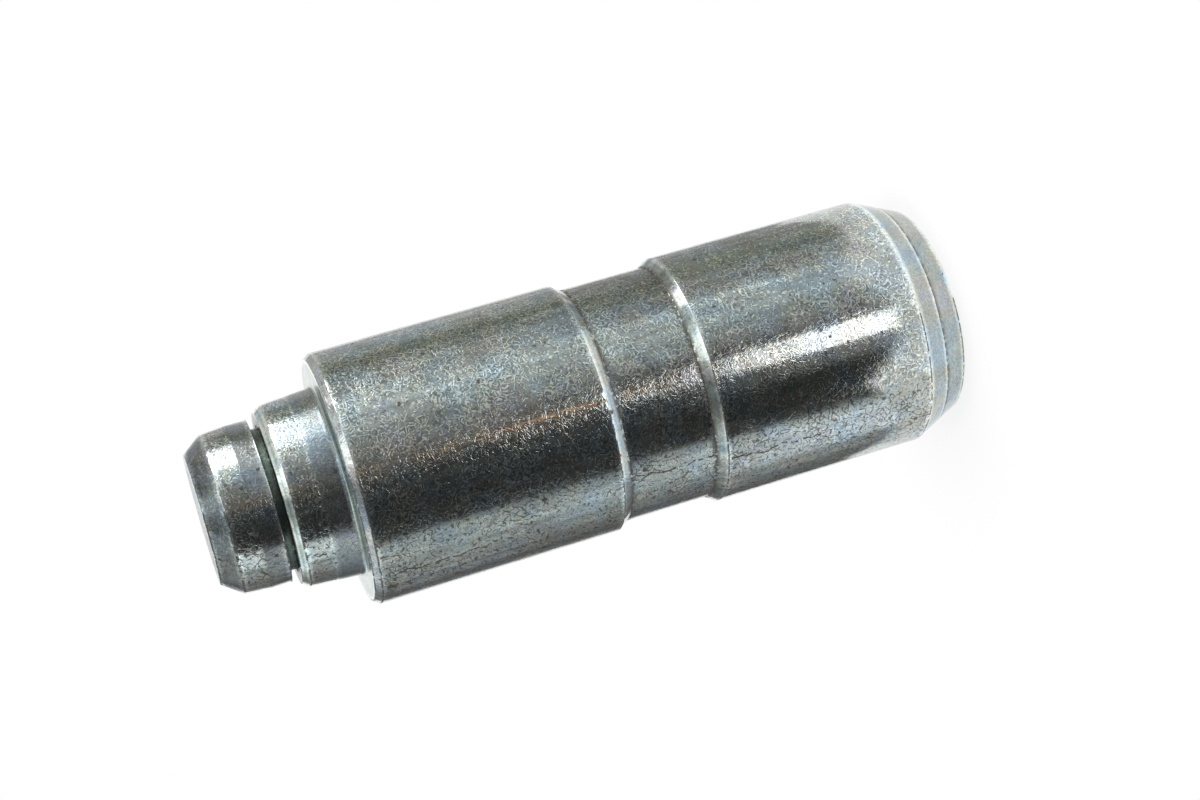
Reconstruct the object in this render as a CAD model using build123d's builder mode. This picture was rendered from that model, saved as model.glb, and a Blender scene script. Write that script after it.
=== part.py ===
"""Brake pivot bolt: a headless pin, turned from one steel bar and zinc plated.

Its two journals run in plain bores, and the waist between them clears the bores and holds grease.
Above the shoulder, a tapered spigot, a groove for a retaining ring and a tapered nose hold the pin
endways. The pin stands on its flat lead-in end. The origin is the centre of that face, and +Z runs
along the axis to the nose. Sizes are in millimetres and degrees.
"""

from build123d import *
from math import radians, tan
import os

# Journals: the two bearing lands, ground to one diameter
journal_diameter = 30.0
lower_journal_length = 25.65
upper_journal_length = 29.0

# Lead-in: the long entry cone round the flat end face, cut in two passes
lead_in_length = 5.5
lead_in_angle = 23.5
lead_in_first_pass = 2.9
lead_in_step = 0.05

# Waist, turned down between the journals
waist_relief = 0.84
waist_length = 10.35

# Edge of the turning tool, which leaves the waist's cones and the short chamfers at one angle
tool_angle = 35.0
shoulder_chamfer_length = 0.8
spigot_chamfer_length = 0.85

# Spigot, which tapers from the shoulder to the groove
spigot_root_diameter = 22.4
spigot_length = 7.2
spigot_taper = 3.9

# Groove for the retaining ring
groove_width = 1.0
groove_depth = 1.4

# Nose, which tapers from the groove to a long chamfer round the end face
nose_base_diameter = 19.6
nose_length = 7.8
nose_taper = 4.2
nose_chamfer_length = 2.35
nose_chamfer_angle = 37.0

# Rounded corners and broken edges
end_rim_radius = 0.4
journal_edge_radius = 0.35
waist_root_radius = 0.4
shoulder_edge_radius = 0.2
shoulder_root_radius = 0.75
spigot_edge_radius = 0.25
groove_edge_chamfer = 0.1
nose_edge_radius = 0.4
nose_rim_radius = 0.35


def drop(length, angle):
    """How much the radius falls along a cone of this length, at this angle to the axis."""
    return length * tan(radians(angle))


def ring(radius, height):
    """The round edge at this radius and height, on the part that is being built."""
    circles = edges().filter_by(GeomType.CIRCLE)
    return circles.sort_by_distance((radius, 0, height))[0]


# Radii, from the end face to the nose
journal_r = journal_diameter / 2
waist_r = journal_r - waist_relief
lead_in_mid_r = journal_r - drop(lead_in_length - lead_in_first_pass, lead_in_angle)
end_face_r = lead_in_mid_r - lead_in_step - drop(lead_in_first_pass, lead_in_angle)
shoulder_r = journal_r - drop(shoulder_chamfer_length, tool_angle)
spigot_root_r = spigot_root_diameter / 2
spigot_edge_r = spigot_root_r - drop(spigot_length - spigot_chamfer_length, spigot_taper)
spigot_end_r = spigot_edge_r - drop(spigot_chamfer_length, tool_angle)
nose_base_r = nose_base_diameter / 2
groove_root_r = nose_base_r - groove_depth
nose_edge_r = nose_base_r - drop(nose_length - nose_chamfer_length, nose_taper)
nose_face_r = nose_edge_r - drop(nose_chamfer_length, nose_chamfer_angle)

# Heights, from the end face to the nose
waist_cone_length = waist_relief / tan(radians(tool_angle))
lower_journal_top = lead_in_length + lower_journal_length
waist_bottom = lower_journal_top + waist_cone_length
waist_top = waist_bottom + waist_length
upper_journal_bottom = waist_top + waist_cone_length
upper_journal_top = upper_journal_bottom + upper_journal_length
shoulder_height = upper_journal_top + shoulder_chamfer_length
groove_bottom = shoulder_height + spigot_length
spigot_edge_height = groove_bottom - spigot_chamfer_length
groove_top = groove_bottom + groove_width
overall_length = groove_top + nose_length
nose_edge_height = overall_length - nose_chamfer_length


with BuildPart() as pivot_bolt:
    # Half section of the turned bar, from the axis at the end face to the axis at the nose
    with BuildSketch(Plane.XZ):
        with BuildLine():
            Polyline(
                (0, 0),
                (end_face_r, 0),
                (lead_in_mid_r - lead_in_step, lead_in_first_pass),
                (lead_in_mid_r, lead_in_first_pass),
                (journal_r, lead_in_length),
                (journal_r, lower_journal_top),
                (waist_r, waist_bottom),
                (waist_r, waist_top),
                (journal_r, upper_journal_bottom),
                (journal_r, upper_journal_top),
                (shoulder_r, shoulder_height),
                (spigot_root_r, shoulder_height),
                (spigot_edge_r, spigot_edge_height),
                (spigot_end_r, groove_bottom),
                (nose_base_r, groove_top),
                (nose_edge_r, nose_edge_height),
                (nose_face_r, overall_length),
                (0, overall_length),
                close=True,
            )
        make_face()
    revolve(axis=Axis.Z)

    # Ring groove: a parting tool's cut, square to the axis
    with BuildSketch(Plane.XY.offset(groove_bottom)):
        Circle(journal_r)
        Circle(groove_root_r, mode=Mode.SUBTRACT)
    extrude(amount=groove_width, mode=Mode.SUBTRACT)

    # Inner corners
    fillet([ring(waist_r, waist_bottom), ring(waist_r, waist_top)], waist_root_radius)
    fillet(ring(spigot_root_r, shoulder_height), shoulder_root_radius)

    # Outer edges, broken so that they neither cut nor burr
    fillet(ring(end_face_r, 0), end_rim_radius)
    fillet(ring(journal_r, lead_in_length), journal_edge_radius)
    fillet([ring(journal_r, lower_journal_top), ring(journal_r, upper_journal_bottom)], journal_edge_radius)
    fillet([ring(journal_r, upper_journal_top), ring(shoulder_r, shoulder_height)], shoulder_edge_radius)
    fillet(ring(spigot_edge_r, spigot_edge_height), spigot_edge_radius)
    chamfer([ring(spigot_end_r, groove_bottom), ring(nose_base_r, groove_top)], groove_edge_chamfer)
    fillet(ring(nose_edge_r, nose_edge_height), nose_edge_radius)
    fillet(ring(nose_face_r, overall_length), nose_rim_radius)

pivot_bolt.part.label = "pivot_bolt"

os.makedirs("parts", exist_ok=True)
export_step(pivot_bolt.part, "parts/pivot_bolt.step")
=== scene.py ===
"""Dresses the brake pivot bolt: a turned and zinc-plated pin that stands on its lead-in end.

The bolt's half section is turned on a lathe tree of Geometry Nodes, with the waves, dents and nicks
of a plated part that has been tumbled and handled. Each stretch that was cut in one pass has its own
finish, and the colours also hold painted light: highlights on mark crests and edges, shade in furrows,
hollows, the groove, on the waist and on one side, and a pale glow by the shoulder. A small studio
stands round it: a pale floor, a camera and panels that the metal mirrors.
Sizes of the bolt are in millimetres, and the scene is in metres.
"""

import logging
import math
import random
from dataclasses import dataclass, field
from enum import Enum
from typing import Any, Optional, Sequence, Union

import bpy
from mathutils import Euler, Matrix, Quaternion, Vector


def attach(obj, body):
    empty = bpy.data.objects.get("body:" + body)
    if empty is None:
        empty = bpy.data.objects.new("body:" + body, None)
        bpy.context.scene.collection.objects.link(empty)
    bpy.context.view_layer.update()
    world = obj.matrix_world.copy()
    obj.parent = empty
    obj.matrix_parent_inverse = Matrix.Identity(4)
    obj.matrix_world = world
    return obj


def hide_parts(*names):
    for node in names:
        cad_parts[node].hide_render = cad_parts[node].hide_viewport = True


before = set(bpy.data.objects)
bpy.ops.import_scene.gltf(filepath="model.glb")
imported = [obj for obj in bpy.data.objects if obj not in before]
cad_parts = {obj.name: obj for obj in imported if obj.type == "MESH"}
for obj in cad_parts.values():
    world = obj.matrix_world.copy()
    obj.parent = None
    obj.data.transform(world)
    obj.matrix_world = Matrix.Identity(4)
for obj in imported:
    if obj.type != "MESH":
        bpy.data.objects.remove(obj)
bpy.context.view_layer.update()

LOG = logging.getLogger("pivot_bolt")
MM = 0.001
NODE = "pivot_bolt"
BODY = "root"

Colour = tuple[float, float, float]
Point = tuple[float, float, float]
Socket = bpy.types.NodeSocket
Sockets = bpy.types.bpy_prop_collection
Feed = Union[Socket, float, int, bool, str, Sequence[float], bpy.types.ID]
Feeds = dict[str, Feed]


# ---------------------------------------------------------------------------------------------
# Node trees
# ---------------------------------------------------------------------------------------------


class Graph:
    """Adds nodes to one node tree and links them."""

    def __init__(self, tree: bpy.types.NodeTree) -> None:
        """Keeps the tree that the nodes go into."""
        self.tree = tree

    def node(self, kind: str, feeds: Optional[Feeds] = None, **settings: Any) -> bpy.types.Node:
        """Adds a node.

        Args:
            kind: The node's type name.
            feeds: Input names, each with a value or with the output that feeds it.
            settings: The node's own options, set before its inputs.

        Returns:
            The new node.
        """
        made = self.tree.nodes.new(kind)
        for name, value in settings.items():
            setattr(made, name, value)
        for name, value in (feeds or {}).items():
            self.feed(self.named(made.inputs, name), value)
        return made

    def feed(self, socket: Socket, value: Feed) -> None:
        """Links an output to the socket, or sets the socket's own value."""
        if isinstance(value, Socket):
            self.tree.links.new(value, socket)
        else:
            socket.default_value = value

    @staticmethod
    def named(sockets: Sockets, name: str) -> Socket:
        """The socket of that name which the node's options leave in use."""
        return next(s for s in sockets if s.name == name and s.enabled)

    def out(self, kind: str, output: str, feeds: Optional[Feeds] = None, **settings: Any) -> Socket:
        """Adds a node and gives the named output of it."""
        return self.named(self.node(kind, feeds, **settings).outputs, output)

    def math(self, operation: str, *values: Feed, clamp: bool = False) -> Socket:
        """The result of a Math node.

        Args:
            operation: The node's operation, such as "MULTIPLY".
            values: One to three values or outputs.
            clamp: Whether the result is kept between 0 and 1.

        Returns:
            The node's output.
        """
        made = self.node("ShaderNodeMath", operation=operation, use_clamp=clamp)
        for socket, value in zip(made.inputs, values):
            self.feed(socket, value)
        return made.outputs[0]

    def plus(self, first: Feed, second: Feed) -> Socket:
        """The sum of two values."""
        return self.math("ADD", first, second)

    def minus(self, first: Feed, second: Feed) -> Socket:
        """The first value less the second."""
        return self.math("SUBTRACT", first, second)

    def times(self, first: Feed, second: Feed) -> Socket:
        """The product of two values."""
        return self.math("MULTIPLY", first, second)

    def inverse(self, value: Feed) -> Socket:
        """One over a value."""
        return self.math("DIVIDE", 1.0, value)

    def size(self, value: Feed) -> Socket:
        """A value without its sign."""
        return self.math("ABSOLUTE", value)

    def larger(self, first: Feed, second: Feed) -> Socket:
        """The larger of two values."""
        return self.math("MAXIMUM", first, second)

    def parts(self, vector: Feed) -> Sockets:
        """The X, Y and Z of a vector."""
        return self.node("ShaderNodeSeparateXYZ", {"Vector": vector}).outputs

    def joined(self, **parts: Feed) -> Socket:
        """The vector of the given X, Y and Z."""
        return self.out("ShaderNodeCombineXYZ", "Vector", parts)

    def bearing(self, place: Feed) -> Socket:
        """The bearing of a place in radians, round from the camera's side towards +X."""
        parts = self.parts(place)
        return self.math("ARCTAN2", parts["X"], self.times(parts["Y"], -1.0))

    def aside(self, bearing: Feed, middle: Feed) -> Socket:
        """How far a bearing is from the middle one, either way round."""
        return self.size(self.math("WRAP", self.minus(bearing, middle), math.pi, -math.pi))

    def length(self, vector: Feed) -> Socket:
        """How long a vector is."""
        return self.out("ShaderNodeVectorMath", "Value", {"Vector": vector}, operation="LENGTH")

    def radius(self, place: Feed) -> Socket:
        """How far a place is from the axis."""
        return self.length(self.vector("MULTIPLY", place, (1.0, 1.0, 0.0)))

    def window(self, value: Feed, low: Feed, high: Feed, border: float) -> Socket:
        """1 where value lies between low and high, with soft borders inside them."""
        above = self.rise(value, low, self.plus(low, border))
        below = self.rise(value, high, self.minus(high, border))
        return self.times(above, below)

    def vector(self, operation: str, *values: Feed, scale: Optional[Feed] = None) -> Socket:
        """The vector result of a Vector Math node.

        Args:
            operation: The node's operation, such as "MULTIPLY".
            values: One or two vectors or outputs.
            scale: The factor of a SCALE operation.

        Returns:
            The node's vector output.
        """
        made = self.node("ShaderNodeVectorMath", operation=operation)
        for socket, value in zip(made.inputs, values):
            self.feed(socket, value)
        if scale is not None:
            self.feed(made.inputs["Scale"], scale)
        return made.outputs["Vector"]

    def rise(self, value: Feed, start: Feed, end: Feed, low: Feed = 0.0, high: Feed = 1.0) -> Socket:
        """A smooth step of value, from low at start to high at end."""
        feeds = {"Value": value, "From Min": start, "From Max": end, "To Min": low, "To Max": high}
        return self.out("ShaderNodeMapRange", "Result", feeds, interpolation_type="SMOOTHSTEP")

    def blend(self, share: Feed, first: Feed, second: Feed, how: str = "MIX") -> Socket:
        """The colour between first, at share 0, and second, at share 1."""
        feeds = {"Factor": share, "A": first, "B": second}
        return self.out("ShaderNodeMix", "Result", feeds, data_type="RGBA", blend_type=how)

    def noise(
        self, place: Feed, scale: Feed = 1.0, detail: float = 0.0, output: str = "Fac"
    ) -> Socket:
        """Smooth noise about 0.5, with features about 1 / scale across."""
        feeds = {"Vector": place, "Scale": scale, "Detail": detail}
        return self.out("ShaderNodeTexNoise", output, feeds)

    def total(self, values: Sequence[Socket]) -> Socket:
        """The sum of several outputs."""
        sum_so_far = values[0]
        for value in values[1:]:
            sum_so_far = self.plus(sum_so_far, value)
        return sum_so_far


def rgba(colour: Colour) -> tuple[float, float, float, float]:
    """A colour with full opacity."""
    return (*colour, 1.0)


def grey(level: float) -> Colour:
    """A neutral colour."""
    return (level, level, level)


def fresh_graph(owner: Union[bpy.types.Material, bpy.types.World]) -> Graph:
    """Turns on a material's or the world's nodes and empties them."""
    owner.use_nodes = True
    owner.node_tree.nodes.clear()
    return Graph(owner.node_tree)


def set_out(name: str, data: bpy.types.ID) -> bpy.types.Object:
    """Makes an object of the data and puts it in the scene."""
    made = bpy.data.objects.new(name, data)
    bpy.context.scene.collection.objects.link(made)
    return made


@dataclass(frozen=True)
class Port:
    """A named input or output of a node group."""

    name: str
    kind: str = "NodeSocketFloat"
    value: Optional[float] = None


class SharedEffect:
    """A shader node group that several finishes use, each with its own values."""

    title = "effect"
    inputs: tuple[Port, ...] = ()
    outputs: tuple[Port, ...] = ()

    def __init__(self) -> None:
        """Makes the group's sockets and builds its nodes."""
        self.tree = bpy.data.node_groups.new(self.title, "ShaderNodeTree")
        for direction, ports in (("INPUT", self.inputs), ("OUTPUT", self.outputs)):
            for port in ports:
                new_socket = self.tree.interface.new_socket
                socket = new_socket(port.name, in_out=direction, socket_type=port.kind)
                if port.value is not None:
                    socket.default_value = port.value
        graph = Graph(self.tree)
        entry = graph.node("NodeGroupInput")
        leave = graph.node("NodeGroupOutput")
        for name, result in self.build(graph, entry.outputs).items():
            graph.feed(leave.inputs[name], result)

    def build(self, graph: Graph, given: Sockets) -> dict[str, Socket]:
        """Builds the effect.

        Args:
            graph: The group's graph.
            given: The group's inputs.

        Returns:
            The output of a node for each of the group's outputs, by name.
        """
        raise NotImplementedError

    def place(self, graph: Graph, feeds: Feeds) -> Sockets:
        """Puts the group into a material's tree and gives its outputs."""
        return graph.node("ShaderNodeGroup", feeds, node_tree=self.tree).outputs


VECTOR = "NodeSocketVector"
COLOUR = "NodeSocketColor"


class CurledMarks(SharedEffect):
    """Thin curled lines, raised or cut, where small parts rolled over the soft surface."""

    title = "curled_marks"
    inputs = (
        Port("Place", VECTOR),
        Port("Size", value=1.0),
        Port("Width", value=0.1),
        Port("Cover", value=0.5),
    )
    outputs = (Port("Depth"), Port("Crest"), Port("Foot"))
    layers = 2
    bare_level = 0.66
    cover_range = 0.24
    crowd_rate = 0.28
    crowding = 0.4
    break_rate = 2.4
    break_border = 0.06
    level_range = 0.1
    foot_depth = 0.6

    def build(self, graph: Graph, given: Sockets) -> dict[str, Socket]:
        """Level lines of noise and the sides of cells, broken into marks with a furrow beside each."""
        place = given["Place"]
        rate = graph.inverse(given["Size"])
        start = graph.minus(self.bare_level, graph.times(given["Cover"], self.cover_range))
        crowd = graph.noise(place, graph.times(rate, self.crowd_rate), 1.0)
        start = graph.minus(start, graph.times(graph.minus(crowd, 0.5), self.crowding))
        end = graph.plus(start, self.break_border)
        breaks = graph.noise(
            graph.vector("ADD", place, (3.0, 57.0, 11.0)), graph.times(rate, self.break_rate)
        )
        crests, feet = [], []
        for layer in range(self.layers):
            finer = graph.times(rate, 0.8 + 0.5 * layer)
            moved = graph.vector("ADD", place, (31.0 * layer, 7.0, 13.0 * layer))
            off = graph.math("WRAP", graph.noise(moved, finer), self.level_range, -self.level_range)
            reach = graph.times(graph.times(given["Width"], finer), 0.6)
            gap = breaks if layer % 2 == 0 else graph.minus(1.0, breaks)
            self.mark(graph, off, reach, graph.rise(gap, start, end), crests, feet)
        for layer in range(self.layers):
            finer = graph.times(rate, 1.1 + 0.6 * layer)
            moved = graph.vector("ADD", place, (11.0, 31.0 * layer, 17.0))
            feeds = {"Vector": moved, "Scale": finer}
            off = graph.out("ShaderNodeTexVoronoi", "Distance", feeds, feature="DISTANCE_TO_EDGE")
            reach = graph.times(graph.times(given["Width"], finer), 0.9)
            gap = breaks if layer % 2 == 1 else graph.minus(1.0, breaks)
            self.mark(graph, off, reach, graph.rise(gap, start, end), crests, feet)
        crest = graph.math("MINIMUM", graph.total(crests), 1.0)
        foot = graph.math("MINIMUM", graph.total(feet), 1.0)
        depth = graph.minus(crest, graph.times(foot, self.foot_depth))
        return {"Depth": depth, "Crest": crest, "Foot": foot}

    @staticmethod
    def mark(
        graph: Graph,
        off: Socket,
        reach: Socket,
        shown: Socket,
        crests: list[Socket],
        feet: list[Socket],
    ) -> None:
        """Adds the crests and the furrows of one set of lines.

        Args:
            graph: The group's graph.
            off: The distance from the line.
            reach: How far a line's crest reaches from its middle.
            shown: Where the line shows.
            crests: The crests so far, to which this adds.
            feet: The furrows so far, to which this adds.
        """
        inner = graph.times(reach, 0.4)
        narrow = graph.times(reach, 0.75)
        beside = graph.minus(off, graph.times(reach, 1.1))
        crest = graph.rise(graph.size(off), reach, inner)
        foot = graph.rise(graph.size(beside), narrow, inner)
        crests.append(graph.times(crest, shown))
        feet.append(graph.times(foot, shown))


class FineScratches(SharedEffect):
    """Long thin scratches, sparse and nearly straight, from handling and from other parts."""

    title = "fine_scratches"
    inputs = (Port("Place", VECTOR), Port("Length", value=6.0), Port("Amount", value=0.5))
    outputs = (Port("Mask"),)
    layers = 2
    seed = 23
    across_rate = 0.9
    line_border = 0.03
    line_core = 0.004

    def build(self, graph: Graph, given: Sockets) -> dict[str, Socket]:
        """Level lines of stretched noise, each layer broken into runs by the other one's noise."""
        rng = random.Random(self.seed)
        along = graph.inverse(given["Length"])
        stretch = graph.joined(X=self.across_rate, Y=self.across_rate, Z=along)
        low = graph.minus(0.72, graph.times(given["Amount"], 0.25))
        levels = []
        for layer in range(self.layers):
            turn = Euler([rng.uniform(0, 2 * math.pi) for _ in range(3)])
            turned = graph.out(
                "ShaderNodeVectorRotate", "Vector",
                {"Vector": given["Place"], "Rotation": turn},
                rotation_type="EULER_XYZ",
            )
            spread = graph.vector("MULTIPLY", turned, stretch)
            levels.append(graph.noise(graph.vector("ADD", spread, (9.0 * layer, 0.0, 3.0))))
        lines = []
        for level, other in zip(levels, reversed(levels)):
            off = graph.size(graph.minus(level, 0.5))
            run = graph.rise(other, low, graph.plus(low, 0.05))
            lines.append(graph.times(graph.rise(off, self.line_border, self.line_core), run))
        return {"Mask": graph.math("MINIMUM", graph.total(lines), 1.0)}


class TurningMarks(SharedEffect):
    """Rings round the axis that the turning tool leaves, on a cylinder, a cone or a flat face."""

    title = "turning_marks"
    inputs = (
        Port("Place", VECTOR),
        Port("Pitch", value=0.2),
        Port("Low", value=-10.0),
        Port("High", value=100.0),
    )
    outputs = (Port("Height"),)
    drift = 0.3
    border = 1.0

    def build(self, graph: Graph, given: Sockets) -> dict[str, Socket]:
        """Noise that changes fast with radius and height and slowly round the axis."""
        parts = graph.parts(given["Place"])
        rate = graph.inverse(given["Pitch"])
        ring = graph.joined(
            X=graph.times(graph.radius(given["Place"]), rate),
            Y=graph.times(parts["Z"], rate),
            Z=graph.times(parts["X"], self.drift),
        )
        cut = graph.minus(graph.noise(ring, 1.0, 1.0), 0.5)
        band = graph.window(parts["Z"], given["Low"], given["High"], self.border)
        return {"Height": graph.times(cut, band)}


class PlatingFilm(SharedEffect):
    """Faint interference tints of the passivated zinc, in patches that run into each other."""

    title = "plating_film"
    inputs = (Port("Place", VECTOR), Port("Patch", value=4.0))
    outputs = (Port("Tint", COLOUR),)
    fine_rate = 2.2
    fine_share = 0.7
    stops: tuple[tuple[float, Colour], ...] = (
        (0.30, (0.86, 0.99, 1.14)),
        (0.42, (0.92, 1.01, 1.08)),
        (0.50, (0.98, 1.02, 1.00)),
        (0.58, (1.05, 1.03, 0.90)),
        (0.66, (1.08, 0.99, 0.96)),
        (0.74, (0.96, 0.98, 1.08)),
    )

    def build(self, graph: Graph, given: Sockets) -> dict[str, Socket]:
        """A colour ramp over broad noise with a little fine noise in it."""
        rate = graph.inverse(given["Patch"])
        broad = graph.noise(given["Place"], rate, 1.0)
        fine = graph.noise(given["Place"], self.fine_rate, 1.0)
        level = graph.plus(broad, graph.times(graph.minus(fine, 0.5), self.fine_share))
        ramp = graph.node("ShaderNodeValToRGB", {"Fac": level})
        fill_ramp(ramp.color_ramp, self.stops)
        return {"Tint": ramp.outputs["Color"]}


class Pits(SharedEffect):
    """Small scattered pits and specks, darker than the plating round them."""

    title = "pits"
    inputs = (Port("Place", VECTOR), Port("Spacing", value=1.2), Port("Share", value=0.4))
    outputs = (Port("Mask"),)
    sway_rate = 3.0
    sway_reach = 0.55
    size_range = 0.20
    least_size = 0.09
    least_core = 0.03

    def build(self, graph: Graph, given: Sockets) -> dict[str, Socket]:
        """One uneven pit in a share of the cells of a Voronoi pattern."""
        sway = graph.noise(given["Place"], self.sway_rate, 2.0, output="Color")
        sway = graph.vector("SCALE", sway, scale=self.sway_reach)
        moved = graph.vector("ADD", given["Place"], sway)
        feeds = {"Vector": moved, "Scale": graph.inverse(given["Spacing"])}
        cells = graph.node("ShaderNodeTexVoronoi", feeds).outputs
        chance = graph.node("ShaderNodeSeparateColor", {"Color": cells["Color"]}).outputs
        size = graph.times(graph.math("POWER", chance["Green"], 3.0), self.size_range)
        rim, core = graph.plus(size, self.least_size), graph.plus(size, self.least_core)
        chosen = graph.math("LESS_THAN", chance["Red"], given["Share"])
        return {"Mask": graph.times(graph.rise(cells["Distance"], rim, core), chosen)}


class ScoredLine(SharedEffect):
    """A jagged score that runs along the bolt, broken here and there."""

    title = "scored_line"
    inputs = (
        Port("Place", VECTOR),
        Port("Bearing", value=0.0),
        Port("Low", value=0.0),
        Port("High", value=10.0),
        Port("Width", value=0.1),
        Port("Wander", value=0.6),
    )
    outputs = (Port("Mask"),)
    sway_rate = 0.45
    sway_reach = 4.0
    core_share = 0.3
    border = 0.3
    break_rate = 1.1

    def build(self, graph: Graph, given: Sockets) -> dict[str, Socket]:
        """The distance round the surface from a line that wanders with height."""
        place, height = given["Place"], graph.parts(given["Place"])["Z"]
        arc = graph.times(graph.minus(graph.bearing(place), given["Bearing"]), graph.radius(place))
        track = graph.joined(X=given["Bearing"], Z=height)
        sway = graph.minus(graph.noise(track, self.sway_rate, 3.0), 0.5)
        offset = graph.times(graph.times(sway, self.sway_reach), given["Wander"])
        off = graph.size(graph.minus(arc, offset))
        line = graph.rise(off, given["Width"], graph.times(given["Width"], self.core_share))
        inside = graph.window(height, given["Low"], given["High"], self.border)
        broken = graph.rise(graph.noise(place, self.break_rate, 1.0), 0.40, 0.48)
        return {"Mask": graph.times(graph.times(line, inside), broken)}


class StainAndShadePatch(SharedEffect):
    """A blotchy patch by where it lies on the bolt: tarnish, and on the waist a broad painted shade.
    """

    title = "stain_and_shade"
    inputs = (
        Port("Place", VECTOR),
        Port("Bearing", value=0.0),
        Port("Reach", value=0.5),
        Port("Low", value=0.0),
        Port("High", value=10.0),
        Port("Blotch", value=2.0),
    )
    outputs = (Port("Mask"),)
    core_share = 0.3
    border = 1.5

    def build(self, graph: Graph, given: Sockets) -> dict[str, Socket]:
        """A soft window in bearing and height, broken up by noise."""
        place = given["Place"]
        aside = graph.aside(graph.bearing(place), given["Bearing"])
        around = graph.rise(aside, given["Reach"], graph.times(given["Reach"], self.core_share))
        band = graph.window(graph.parts(place)["Z"], given["Low"], given["High"], self.border)
        blotch = graph.noise(place, graph.inverse(given["Blotch"]), 3.0)
        patches = graph.rise(blotch, 0.35, 0.6)
        return {"Mask": graph.times(graph.times(band, around), patches)}


def fill_ramp(ramp: bpy.types.ColorRamp, stops: Sequence[tuple[float, Colour]]) -> None:
    """Gives a colour ramp these stops, each a position and a colour."""
    while len(ramp.elements) < len(stops):
        ramp.elements.new(1.0)
    for element, (position, colour) in zip(ramp.elements, stops):
        element.position = position
        element.color = rgba(colour)


# ---------------------------------------------------------------------------------------------
# The bolt
# ---------------------------------------------------------------------------------------------


class Stretch(Enum):
    """A stretch of the bolt that was cut in one pass and has one finish."""

    END_FACE = 0
    LEAD_IN = 1
    LOWER_JOURNAL = 2
    LOWER_STEP = 3
    WAIST = 4
    UPPER_STEP = 5
    UPPER_JOURNAL = 6
    SHOULDER = 7
    RECESS = 8
    SPIGOT_ROOT = 9
    SPIGOT = 10
    NOSE_BASE = 11
    NOSE = 12
    NOSE_CHAMFER = 13
    NOSE_FACE = 14
    GROOVE = 15


@dataclass(frozen=True)
class Score:
    """A jagged score along the bolt: its bearing in degrees and the heights it runs between."""

    bearing: float
    low: float
    high: float
    width: float = 0.12
    wander: float = 0.6

    def feeds(self, place: Socket) -> Feeds:
        """The score as the inputs of its effect."""
        return {
            "Place": place,
            "Bearing": math.radians(self.bearing),
            "Low": self.low,
            "High": self.high,
            "Width": self.width,
            "Wander": self.wander,
        }


@dataclass(frozen=True)
class StainAndShade:
    """A stained patch, and on the waist a patch of painted shade: its middle bearing and reach in
    degrees, its heights and what it does.
    """

    bearing: float
    reach: float
    low: float
    high: float
    colour: Colour
    strength: float = 1.0
    blotch: float = 2.0

    def feeds(self, place: Socket) -> Feeds:
        """The patch as the inputs of its effect."""
        return {
            "Place": place,
            "Bearing": math.radians(self.bearing),
            "Reach": math.radians(self.reach),
            "Low": self.low,
            "High": self.high,
            "Blotch": self.blotch,
        }


@dataclass(frozen=True)
class PlatedFinish:
    """How a stretch was cut, plated and worn. Depths are in millimetres."""

    name: str
    colour: Colour = (0.445, 0.475, 0.465)
    film: float = 0.7
    film_patch: float = 4.0
    roughness: float = 0.11
    mark_share: float = 1.0
    ridge_height: float = 0.0034
    ridge_size: float = 1.35
    ridge_cover: float = 0.5
    curl_depth: float = 0.002
    curl_size: float = 1.6
    curl_cover: float = 0.5
    turning_depth: float = 0.0
    turning_pitch: float = 0.2
    turning_low: float = -10.0
    turning_high: float = 100.0
    pit_share: float = 0.3
    scratch_depth: float = 0.004
    mottle: float = 0.10
    scores: tuple[Score, ...] = ()
    stains_and_shades: tuple[StainAndShade, ...] = ()


@dataclass(frozen=True)
class Wear:
    """The masks of a stretch's marks, dirt and painted shade, which its relief, colour and gloss
    share.
    """

    place: Socket
    edge: Socket
    ridges: Sockets
    curls: Sockets
    grime_and_shade_side: Socket
    scratch: Socket
    score: Feed
    dirt_and_shade: Socket


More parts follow.
